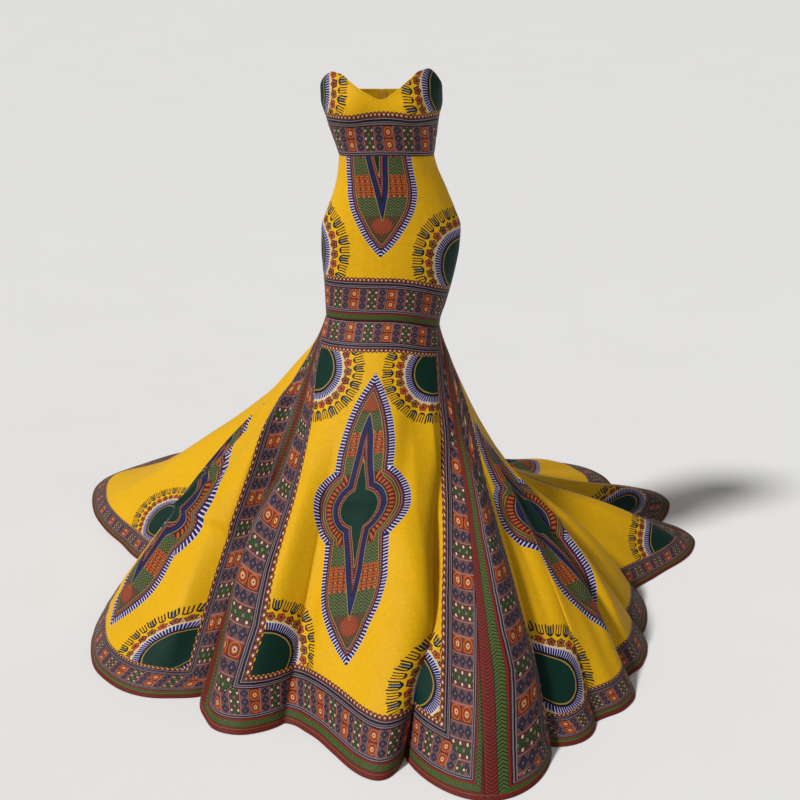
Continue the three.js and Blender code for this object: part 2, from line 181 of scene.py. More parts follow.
def skirtSurface(direction, up):
    way = 1 - up
    angle = wrap(direction)
    seamAngle = seamDirectionAt(angle)
    top = fittedPoint(seamAngle, hipAt(seamAngle) - figure["seamGap"])
    one = np.ones(np.shape(angle))
    heights = [one, one * figure["firstDrop"][1], quarterAt(angle), middleAt(angle), lastAt(angle), one * 0]
    profile = hermite([0, figure["firstDrop"][0], 0.25, 0.5, 0.75, 1], heights, way)
    swell, lift, start, ridge = foldAt(angle)
    grown = np.maximum(0, (way - start) / (1 - start)) ** figure["foldGrowth"]
    a = np.radians(angle)
    outX, outY = np.sin(a), -np.cos(a)
    reach = hemRadiusAt(angle) * way + swell * ridge * grown
    swing = figure["joinSwing"]
    nearJoin = np.exp(-(((angle - swing["direction"]) / swing["spread"]) ** 2))
    aside = swing["out"] * nearJoin * np.sin(math.pi * way)
    x = top[..., 0] * (1 - way) + outX * reach + np.cos(a) * aside
    y = top[..., 1] * (1 - way) + outY * reach + np.sin(a) * aside
    rise = lift * ridge * figure["liftShape"] * grown * (1 - way)
    z = hemHeight + (top[..., 2] - hemHeight) * profile + rise
    return np.stack([x, y, z], axis=-1)


# small folds and drag lines that the cloth has over its main folds
looseFolds = {
    # turns round the dress, phase, lean with the height, height in mm
    "waves": [(31, 0.4, 1.5, 1.7), (47, 2.1, -2.2, 1.2), (73, 4.0, 3.1, 0.6)],
    # on the skirt the waves are full from one way down to the next, then lose a share up to the hem
    "skirt": {"growth": 2.4, "fullFrom": 0.25, "fullTo": 0.85, "hemLoss": 0.6},
    "fittedShare": 0.28,
    "zipSpread": 14,
    # drag lines beside the waist: share of the waves that stays, height in mm, lines up the panel,
    # waves round the dress and how far they bend the lines, and how fast the lines die away
    "dragLines": {
        "bodice": {"keep": 0.4, "height": 2.0, "lines": 34, "turns": 3, "bend": 1.5, "fall": 2},
        "hip": {"keep": 0.6, "height": 1.6, "lines": 30, "turns": 2, "bend": 2.2, "fall": 3},
    },
    # crests, and pinches where the height is below 0: direction at the start and at the end,
    # way down at the start and at the end, height in mm, spread in degrees
    "creases": [
        (-5, 3, 0.2, 0.8, 10, 2.6), (-1, 4.5, 0.12, 0.5, 7, 1.8), (-22, -25, 0.4, 0.97, 10, 2.8),
        (-13, -13, 0.3, 0.85, -8, 3), (-29, -31, 0.3, 0.95, -8, 2.4), (8, 8.5, 0.3, 0.95, -7, 2),
        (-50, -42, 0.5, 0.97, 9, 3), (-60, -57, 0.35, 0.95, -12, 4), (-74, -68, 0.35, 0.9, 9, 4),
        (-90, -86, 0.4, 0.92, -12, 4), (-118, -120, 0.45, 0.97, 12, 3), (-128, -128, 0.4, 0.9, -10, 3),
        (20, 21, 0.35, 0.95, 7, 2.2), (30, 31, 0.3, 0.9, -9, 2.6), (43, 45, 0.3, 0.9, 6, 3.4),
        (66, 68, 0.35, 0.9, -6, 5), (100, 103, 0.35, 0.95, 10, 3), (124, 126, 0.4, 0.95, 9, 3),
        (146, 146, 0.4, 0.95, 10, 3), (168, 168, 0.4, 0.95, 9, 3), (-170, -168, 0.4, 0.95, 10, 3),
        (-146, -146, 0.4, 0.95, 10, 3),
    ],
    # pleats that rise slowly from the left and drop fast to the right: direction at the start and at
    # the end, way down at the start and at the end, height in mm, rise and drop in degrees
    "pleats": [
        (-9, -4, 0.16, 0.62, 24, 7, 4.2), (-4, 7, 0.46, 0.99, 30, 5.5, 3.6),
        (-13, -11, 0.46, 0.97, 25, 6, 3.4), (-34, -28, 0.44, 0.98, 30, 4, 3.8),
        (-51, -43, 0.12, 0.63, 34, 8, 4.2), (-82, -80, 0.3, 0.7, 16, 7, 4),
        (15, 17, 0.28, 0.98, 28, 4, 4.4), (34, 37, 0.3, 0.96, 27, 7, 4.6),
        (55, 57, 0.32, 0.94, 26, 8, 5), (78, 81, 0.35, 0.96, 22, 8, 5), (104, 106, 0.35, 0.96, 20, 8, 5),
        (150, 150, 0.35, 0.96, 22, 9, 5), (-165, -163, 0.35, 0.96, 22, 9, 5),
        (-140, -140, 0.35, 0.96, 20, 9, 5),
    ],
    # powers that round the ends of a fold, the back of a crease and the back of a pleat
    "endRound": 0.7,
    "creaseRound": 1.3,
    "pleatRound": 1.5,
    # soft overhangs across a gore: direction, half width in degrees, way down, lean, height, length
    "overhangs": [
        (-58, 17, 0.63, -0.0022, 26, 0.12), (-8, 9, 0.74, 0.002, 5, 0.1), (60, 12, 0.6, 0.002, 8, 0.1),
    ],
    "lipFall": 9,  # how much faster an overhang falls under its lip
    "seamDent": 1.1,
    "seamSpread": 3.2,
}


def aroundZero(angle):  # the same direction, from -180 to 180
    return (angle + 180) % 360 - 180


def offFold(line, angle, way):  # degrees off the line of a fold, and the fold's height along it
    first, last, start, end = line
    share = np.clip((way - start) / (end - start), 0, 1)
    off = aroundZero(angle - first - (last - first) * share)
    return off, np.sin(math.pi * share) ** looseFolds["endRound"]


def creaseForm(angle, way):
    total = 0
    for *line, height, spread in looseFolds["creases"]:
        off, along = offFold(line, angle, way)
        away = np.abs(off) / spread
        total = total + height * along * np.exp(-(away ** looseFolds["creaseRound"]))
    for *line, height, rise, drop in looseFolds["pleats"]:
        off, along = offFold(line, angle, way)
        away = np.where(off < 0, -off / rise, off / drop)
        total = total + height * along * np.exp(-(away ** looseFolds["pleatRound"]))
    for direction, half, lip, lean, height, long in looseFolds["overhangs"]:
        off = aroundZero(angle - direction)
        above = (lip + lean * off - way) / long
        fall = np.where(above > 0, 1, looseFolds["lipFall"])
        total = total + height * np.exp(-((off / half) ** 2)) * np.exp(-np.abs(above) * fall)
    return total


def looseForm(surface, angle, up):  # how far the cloth moves out, or in where it is below 0
    turn, way = np.radians(angle), 1 - up
    lean = way if surface is skirtSurface else up * 2
    waves = 0
    for turns, phase, leaning, height in looseFolds["waves"]:
        slow = 0.5 + 0.5 * np.sin(turn * 5 + phase * 3 + lean * 4)
        waves = waves + height * slow * np.sin(turns * turn + phase + leaning * lean)
    if surface is skirtSurface:
        skirt = looseFolds["skirt"]
        toHem = np.clip((way - skirt["fullTo"]) / (1 - skirt["fullTo"]), 0, 1)
        strength = np.clip(way / skirt["fullFrom"], 0, 1) * (1 - skirt["hemLoss"] * toHem)
        return (waves * (1.0 + skirt["growth"] * way) + creaseForm(wrap(angle), way)) * strength
    onBodice = surface is bodiceSurface
    drag = looseFolds["dragLines"]["bodice" if onBodice else "hip"]
    lines = np.sin(up * drag["lines"] + np.sin(turn * drag["turns"]) * drag["bend"])
    total = waves * drag["keep"] + drag["height"] * lines * (way if onBodice else up) ** drag["fall"]
    strength = np.sin(math.pi * np.clip(up, 0, 1)) * looseFolds["fittedShare"]
    fromZip = np.abs(np.abs(wrap(angle)) - 180) / looseFolds["zipSpread"]
    return total * strength * (1 - np.exp(-(fromZip ** 2)))


def lengthsAlong(points, axis):  # distance along the cloth from its first row or column
    steps = np.linalg.norm(np.diff(points, axis=axis), axis=-1)
    start = np.zeros_like(np.take(steps, [0], axis=axis))
    return np.concatenate([start, np.cumsum(steps, axis=axis)], axis=axis)


def stations(probe, lengths, spacing):  # even steps along the cloth, closer by a seam
    total = lengths[-1]
    near = [0, 1.6, 3.6, 7]
    count = max(4, int(round((total - 2 * near[-1]) / spacing)))
    middle = np.linspace(near[-1], total - near[-1], count + 1)
    places = np.concatenate([near[:-1], middle, [total - step for step in reversed(near[:-1])]])
    return np.interp(places, lengths, probe)


borderWidth = 116  # the printed border in full, in millimetres from the yellow ground outwards
# long outline of a medallion, and the spear in its middle: distance down from its core, half width
medallionBlade = [
    (-355, 0), (-325, 17), (-256, 46), (-190, 62), (-137, 70), (-104, 72), (0, 78), (105, 87),
    (146, 89), (190, 90), (238, 84), (310, 55), (355, 28), (389, 0),
]
spearOutline = [
    (-245, 0), (-187, 14), (-137, 20), (-104, 25), (-57, 33), (0, 36), (57, 33), (104, 26),
    (160, 20), (205, 14), (243, 7), (280, 0),
]
# half width and reach of a whole medallion, radius of the round that joins its blades, and of its core,
# and where the round meets the blades: degrees from the top, and how far down from the core
medallionSize = {
    "half": 123, "above": 355, "below": 389, "round": 121, "core": 69,
    "meetTurns": (36.3, 134.0), "meetDown": (-98, 84),
}


def outlineDepth(rows, x, q):  # depth inside an outline, and the way along it from its top tip
    line = np.linspace(rows[0][0], rows[-1][0], 150)
    wide = curve(rows, 1)
    border = np.stack([wide(line), line], axis=-1)
    place = np.stack([np.abs(x).ravel(), q.ravel()], axis=-1)
    start, step = border[:-1], np.diff(border, axis=0)
    long = np.linalg.norm(step, axis=1)
    before = np.concatenate([[0], np.cumsum(long)[:-1]])
    best = np.full(len(place), 1e9)
    along = np.zeros(len(place))
    for i in range(len(start)):
        share = np.clip(((place - start[i]) @ step[i]) / long[i] ** 2, 0, 1)
        away = np.linalg.norm(place - start[i] - share[:, None] * step[i], axis=1)
        nearer = away < best
        best = np.where(nearer, away, best)
        along = np.where(nearer, before[i] + share * long[i], along)
    inside = (place[:, 0] < wide(place[:, 1])) & (place[:, 1] > rows[0][0]) & (place[:, 1] < rows[-1][0])
    return (np.where(inside, best, -best)).reshape(x.shape), along.reshape(x.shape)


def medallionMaps(x, q, roundQ):  # depth and way along for the whole outline, and depth in the core
    size = medallionSize
    blade, along = outlineDepth(medallionBlade, x, q)
    away = np.hypot(x, roundQ)
    turned = np.degrees(np.arctan2(np.abs(x), -roundQ))
    upper, lower = size["meetTurns"]
    line = np.linspace(-size["above"], size["below"], 400)
    run = lengthsAlong(np.stack([curve(medallionBlade, 1)(line), line], axis=-1), 0)
    meetUpper, meetLower = np.interp(size["meetDown"], line, run)
    perDegree = math.radians(size["round"])
    roundAlong = meetUpper + (turned - upper) * perDegree
    along = np.where(q > 0, along - meetLower + meetUpper + (lower - upper) * perDegree, along)
    inRound = size["round"] - away
    onRound = inRound > blade
    spear = outlineDepth(spearOutline, x, q)[0]
    depth = np.where(onRound, inRound, blade)
    return depth, np.where(onRound, roundAlong, along), np.maximum(spear, size["core"] - away)


def printMaps(pattern, across, width, up, length):  # where each point of the cloth lies on the print
    down = length - up
    x = across - width / 2
    noBorder = np.full(x.shape, -900.0)

    def bandAt(label, place):  # width of an edge's border at each place along it
        return np.interp(place, [row[0] for row in pattern[label]], [row[1] for row in pattern[label]])

    def side(label, edge):
        if label not in pattern:
            return noBorder
        band = bandAt(label, down)
        if label not in pattern["fitted"]:
            return band - edge
        return (band - edge) * np.maximum(borderWidth / band, pattern["leastFit"])

    low = top = noBorder
    if "hem" in pattern:
        band = bandAt("hem", across / width)
        low = (band - up) * borderWidth / band
    if "lowBand" in pattern:
        low = (pattern["lowBand"] - up) * pattern["lowShown"] / pattern["lowBand"]
    if "topBand" in pattern:
        top = pattern["topBand"] - down
    medal, size = pattern["medallion"], medallionSize
    q = down - medal["core"]
    medalX = (x - medal["x"] - medal["lean"] * q) * size["half"] / medal["half"]
    medalQ = np.where(q < 0, q * size["above"] / medal["above"], q * size["below"] / medal["below"])
    depth, along, coreDepth = medallionMaps(medalX, medalQ, q * size["half"] / medal["half"])
    return {
        "cloth": (x, up), "sides": (side("left", across), side("right", width - across)),
        "ends": (low, top), "medal": (depth, along), "middle": (medalX, medalQ), "core": (coreDepth, down),
    }


# even steps that the lengths of a panel are measured in, and the shares across it that are measured up
measure = {"across": 1500, "up": 800, "upAt": (0.05, 0.35, 0.65, 0.95)}


def clothPanel(node, panel):
    name = "cloth_" + node
    surface, start, end = panel["surface"], panel["from"], panel["to"]
    probe, probeUp = np.linspace(start, end, measure["across"]), np.linspace(0, 1, measure["up"])
    wide = sum(lengthsAlong(surface(probe, np.full(len(probe), up)), 0) for up in panel["measureAt"])
    tall = sum(lengthsAlong(surface(np.full(len(probeUp), start + (end - start) * share), probeUp), 0)
               for share in measure["upAt"])
    angles = stations(probe, wide / len(panel["measureAt"]), panel["spacing"])
    ups = stations(probeUp, tall / len(measure["upAt"]), panel["spacing"])
    mesh = bmesh.new()
    bmesh.ops.create_grid(mesh, x_segments=len(angles) - 1, y_segments=len(ups) - 1, size=0.5)
    data = bpy.data.meshes.new(name)
    mesh.to_mesh(data)
    mesh.free()

    places = np.empty(len(data.vertices) * 3)
    data.vertices.foreach_get("co", places)
    steps = [[len(angles) - 1], [len(ups) - 1]]
    i, j = np.rint((places.reshape(-1, 3)[:, :2].T + 0.5) * steps).astype(int)
    angle, up = np.meshgrid(angles, ups, indexing="ij")
    points = surface(angle, up)
    acrossWay = np.gradient(points, axis=0)
    upWay = np.gradient(points, axis=1)
    normal = np.cross(acrossWay, upWay)
    normal /= np.linalg.norm(normal, axis=-1, keepdims=True)
    sideways = acrossWay / np.linalg.norm(acrossWay, axis=-1, keepdims=True)
    across = lengthsAlong(points, 0)
    height = lengthsAlong(points, 1)
    width, length = across[-1:, :], height[:, -1:]
    out = looseForm(surface, angle, up)
    spread = looseFolds["seamSpread"]
    edges = [across, width - across]
    if surface is not skirtSurface:
        edges.append(height)
    if surface is not bodiceSurface:
        edges.append(length - height)
    for edge in edges:
        out = out - looseFolds["seamDent"] * np.exp(-(edge / spread) ** 2)
    if surface is skirtSurface:  # the hem stays on the floor
        normal[..., 2] *= np.clip(up * 20, 0, 1)
    points = points + normal * out[..., None]
    points[0] += sideways[0] * figure["seamGap"] / 2
    points[-1] -= sideways[-1] * figure["seamGap"] / 2
    data.vertices.foreach_set("co", (points[i, j] / 1000).ravel())

    corners = np.empty(len(data.loops), int)
    data.loops.foreach_get("vertex_index", corners)
    maps = printMaps(panel["print"], across, width, height, length)
    for mapName, (first, second) in maps.items():
        layer = data.uv_layers.new(name=mapName)
        pair = np.stack([first[i, j], second[i, j]], axis=-1)[corners] / 1000
        layer.data.foreach_set("uv", pair.ravel())
    data.polygons.foreach_set("use_smooth", [True] * len(data.polygons))
    data.update()

    piece = newObject(name, data)
    wall = piece.modifiers.new("cloth thickness", "SOLIDIFY")
    wall.thickness = figure["clothThickness"] / 1000
    wall.offset = -1
    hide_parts(node)
    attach(piece, "dress")
    quads = np.cross(points[1:, :-1] - points[:-1, :-1], points[:-1, 1:] - points[:-1, :-1])
    area = float(np.linalg.norm(quads, axis=-1).sum()) / 1e6
    flat = (round(float(width.max()) / 1000, 3), round(float(length.max()) / 1000, 3))
    area = round(min(area, flat[0] * flat[1]), 3)
    print(f"  {name}: {len(data.vertices)} points, flat {flat} m, {area} square metres")
    return piece


def medallion(core, x=0, lean=0, half=123, above=355, below=389):
    return {"core": core, "x": x, "lean": lean, "half": half, "above": above, "below": below}


# sizes of the print on each panel, in millimetres on the cloth. x runs from the panel's middle line,
# a medallion's core is so far down, and hem suns are so far up. left, right: way down from the top
# edge, border's width there. hem: share across, border's width. A fitted border is squeezed to that
# width, but not under leastFit of its own, and any other runs under the seam
anyPrint = {"sunSize": 1.0, "topSuns": [], "fitted": ["left", "right"], "leastFit": 0}
bodicePrint = {**anyPrint, "lowBand": 112, "lowShown": 86, "medallion": medallion(5000)}  # none shows
hipPrint = {**anyPrint, "lowBand": 110, "lowShown": 105}
trainPrint = {**anyPrint, "medallion": medallion(640, above=340)}
bodiceSize = {"surface": bodiceSurface, "spacing": 4, "measureAt": (0.6,), "held": "stretched"}
hipSize = {"surface": hipSurface, "spacing": 5, "measureAt": (0.55,), "held": "stretched"}
skirtSize = {"surface": skirtSurface, "spacing": 7.5, "measureAt": (0, 0.3), "held": "hung"}


def panelRow(size, start, end, restsOn, basePrint, spacing=None, **shown):
    return {**size, "from": start, "to": end, "spacing": spacing or size["spacing"],
            "restsOn": ["cloth_" + name for name in restsOn], "print": {**basePrint, **shown}}


panels = {
    "bodice_front": panelRow(
        bodiceSize, -90, 90, ["hip_front"], bodicePrint, hemSuns=[(-240, 160), (204, 157)]),
    "bodice_back_right": panelRow(
        bodiceSize, 90, 180, ["hip_back_right"], bodicePrint, hemSuns=[(-106, 157)]),
    "bodice_back_left": panelRow(
        bodiceSize, 180, 270, ["hip_back_left"], bodicePrint, hemSuns=[(106, 157)]),
    "hip_front": panelRow(
        hipSize, -90, 90, ["skirt_front"], hipPrint, hemSuns=[(-250, 166), (204, 170)],
        medallion=medallion(-78, -23, half=121, below=328)),
    "hip_back_right": panelRow(
        hipSize, 90, 180, ["skirt_back_right"], hipPrint, hemSuns=[(-130, 170)],
        medallion=medallion(-78, 124, half=121, below=328)),
    "hip_back_left": panelRow(
        hipSize, 180, 270, ["skirt_back_left"], hipPrint, hemSuns=[(130, 170)],
        medallion=medallion(-78, -124, half=121, below=328)),
    "skirt_front": panelRow(
        skirtSize, -36, 12, ["hip_front"], anyPrint, 6,
        topBand=81, fitted=["left"], leastFit=0.8, sunSize=0.95,
        left=[(0, 26), (140, 34), (250, 66), (486, 116), (643, 139), (808, 172), (1010, 180)],
        right=[(0, 44), (93, 44), (300, 42), (500, 56), (750, 80), (1054, 97), (1250, 112)],
        hem=[(0, 128), (0.5, 142), (1, 148)], hemSuns=[(-242, 172), (262, 196)],
        topSuns=[(-172, 132), (156, 124)], medallion=medallion(485, above=353, below=391)),
    "skirt_right": panelRow(
        skirtSize, 12, 112, ["hip_front", "hip_back_right"], anyPrint,
        left=[(0, 60), (500, 74), (627, 85), (786, 127), (883, 165), (973, 225), (1250, 235)],
        right=[(0, 60), (500, 80), (1200, 100)], hem=[(0, 110), (0.12, 78), (1, 70)],
        hemSuns=[(-425, 160), (590, 92)], medallion=medallion(580, -136, -0.04, 134, 300, 358)),
    "skirt_left": panelRow(
        skirtSize, -135, -36, ["hip_front", "hip_back_left"], anyPrint, sunSize=0.92,
        left=[(0, 60), (500, 80), (1200, 100)], right=[(0, 60), (450, 66), (650, 78), (1200, 82)],
        hem=[(0, 76), (0.6, 70), (1, 76)], hemSuns=[(645, 118), (-150, 150)],
        medallion=medallion(606, 178, 0.62, 190, 300, 360)),
    "skirt_back_right": panelRow(
        skirtSize, 112, 180, ["hip_back_right"], trainPrint, 9.5,
        left=[(0, 50), (600, 80), (1300, 105)], right=[(0, 40), (600, 80), (1300, 105)],
        hem=[(0, 100), (1, 110)], hemSuns=[(-430, 190), (430, 190)]),
    "skirt_back_left": panelRow(
        skirtSize, 180, 225, ["hip_back_left"], trainPrint, 9.5,
        left=[(0, 40), (600, 80), (1300, 105)], right=[(0, 50), (600, 80), (1300, 105)],
        hem=[(0, 110), (1, 100)], hemSuns=[(-330, 190), (330, 190)]),
}
pieces = {node: clothPanel(node, panel) for node, panel in panels.items()}
print("2 of 6: cloth panels made")


def colour(red, green, blue):  # from 0 to 255 as in a picture
    linear = [c / 12.92 if c <= 0.04045 else ((c + 0.055) / 1.055) ** 2.4
              for c in (red / 255, green / 255, blue / 255)]
    return (*linear, 1)


def reckon(kind):  # an operator of Field, which makes one math node
    return lambda field, *others: field.math(kind, *others)


class Field:  # a node's output that can be reckoned with
    __add__, __sub__, __mul__, __truediv__ = map(reckon, ("ADD", "SUBTRACT", "MULTIPLY", "DIVIDE"))
    __lt__, __gt__, __and__, __or__ = map(reckon, ("LESS_THAN", "GREATER_THAN", "MULTIPLY", "MAXIMUM"))
    __abs__, fraction = map(reckon, ("ABSOLUTE", "FRACT"))

    def __init__(self, tree, socket):
        self.tree, self.socket = tree, socket

    def math(self, kind, *others):
        node = self.tree.nodes.new("ShaderNodeMath")
        node.operation = kind
        for place, value in zip(node.inputs, (self, *others)):
            feed(place, value)
        return Field(self.tree, node.outputs[0])

    def between(self, low, high):
        return (self > low) & (self < high)


def feed(place, value):  # a socket takes a field, or else a number, a colour or a dye's name
    if isinstance(value, Field):
        value.tree.links.new(value.socket, place)
    else:
        place.default_value = dyes.get(value, value)


def reach(x, y):  # distance from the middle of a small motif
    return ((x * x) + (y * y)).math("SQRT")


def paint(under, mask, over):  # over covers under where the mask is 1
    node = mask.tree.nodes.new("ShaderNodeMix")
    node.data_type = "RGBA"
    for place, value in ((0, mask), (6, under), (7, over)):
        feed(node.inputs[place], value)
    return Field(mask.tree, node.outputs[2])


def coats(under, *layers):  # several masks with their colours, each over the one before
    for mask, over in layers:
        under = paint(under, mask, over)
    return under


def within(under, mask, *layers):  # the same, only where the mask is 1
    return paint(under, mask, coats(under, *layers))


def choose(mask, first, second):  # first where the mask is 1, second where it is 0
    return mask * (first - second) + second


def ramp(value, low, high, stops):  # hard colour bands over value, each from its own start on
    node = value.tree.nodes.new("ShaderNodeValToRGB")
    node.color_ramp.interpolation = "CONSTANT"
    shares = [((start - low) / (high - low), dyes[tint]) for start, tint in stops]
    elements = node.color_ramp.elements
    elements[0].position, elements[0].color = shares[0]
    elements[1].position, elements[1].color = shares[1]
    for position, tint in shares[2:]:
        elements.new(position).color = tint
    feed(node.inputs[0], (value - low) / (high - low))
    return Field(value.tree, node.outputs[0])


dyes = {name: colour(*tint) for name, tint in {
    "yellow": (223, 172, 12), "yellowDeep": (212, 158, 8),
    "green": (5, 42, 33), "greenDark": (6, 32, 30),
    "leaf": (50, 86, 40), "leafDark": (22, 38, 24),
    "navy": (24, 26, 80), "black": (18, 16, 24),
    "lilac": (198, 188, 212), "line": (126, 112, 120),
    "maroon": (80, 28, 40), "brown": (62, 32, 28), "red": (128, 34, 26),
    "orange": (176, 86, 30), "rose": (134, 54, 38), "blue": (22, 38, 82),
    "cream": (206, 184, 150), "gold": (148, 122, 56), "olive": (78, 70, 38),
    "pink": (148, 98, 92), "slate": (44, 50, 76), "mauve": (100, 68, 66),
}.items()}


def newMaterial(name):
    material = bpy.data.materials.new(name)
    material.use_nodes = True
    return material, material.node_tree, material.node_tree.nodes["Principled BSDF"]


def objectPlace(tree):
    return tree.nodes.new("ShaderNodeTexCoord").outputs["Object"]


def newNode(tree, kind, **values):  # a node with these values on its own sockets
    node = tree.nodes.new("ShaderNode" + kind)
    for name, value in values.items():
        node.inputs[name].default_value = value
    return node


def addNoise(tree, place, scale, detail=2, output="Fac"):
    node = newNode(tree, "TexNoise", Scale=scale, Detail=detail)
    tree.links.new(place, node.inputs["Vector"])
    return Field(tree, node.outputs[output])


def addBump(shader, height, strength, depth):
    bump = newNode(height.tree, "Bump", Strength=strength, Distance=depth)
    feed(bump.inputs["Height"], height)
    height.tree.links.new(bump.outputs[0], shader.inputs["Normal"])


def newGroup(name, inputs, outputs):
    tree = bpy.data.node_groups.new(name, "ShaderNodeTree")
    for label, kind in inputs:
        tree.interface.new_socket(name=label, in_out="INPUT", socket_type="NodeSocket" + kind)
    for label, kind in outputs:
        tree.interface.new_socket(name=label, in_out="OUTPUT", socket_type="NodeSocket" + kind)
    into, out = tree.nodes.new("NodeGroupInput"), tree.nodes.new("NodeGroupOutput")
    return tree, into, out


def parts(tree, socket, sizes=(1000, 1000)):  # x and y of a map, in millimetres
    split = tree.nodes.new("ShaderNodeSeparateXYZ")
    tree.links.new(socket, split.inputs[0])
    return [Field(tree, split.outputs[i]) * sizes[i] for i in (0, 1)]


def dotted(x, y, pitch, radius):  # one round dot for each pitch along x, at y = 0
    return reach(((x / pitch).fraction() - 0.5) * pitch, y) < radius


# the print's motifs: repeats and widths in millimetres, or how many go round. Rings lie so far from the
# middle of a sun. Depths of the ramps count from a motif's edge inwards
medal = {"bar": 8.2, "barShare": 0.66, "dots": 6.2, "leafBand": 20, "leafPitch": 8.4,
         "gridWide": 14, "gridHigh": 22, "petals": 46, "inside": 26, "bloomAt": 294, "bloom": 24}
sun = {"ticks": 84, "tickRing": 82, "roses": 27, "roseRing": 105, "forks": 36, "forkRing": 136,
       "forkFoot": 121, "taper": 0.03}
edging = {"lace": 10.8, "laceLine": 5.6, "repeat": 94, "blocks": 27, "blocksWide": 50, "rosettes": 25,
          "diamonds": 16.7, "dotLine": 59, "weft": 5.4, "plait": 5, "greenPlait": 95.5, "redPlait": 109,
          "sideStretch": 1.75}
wander = (3.2, 3.6)  # how far the hand-made print strays across and along


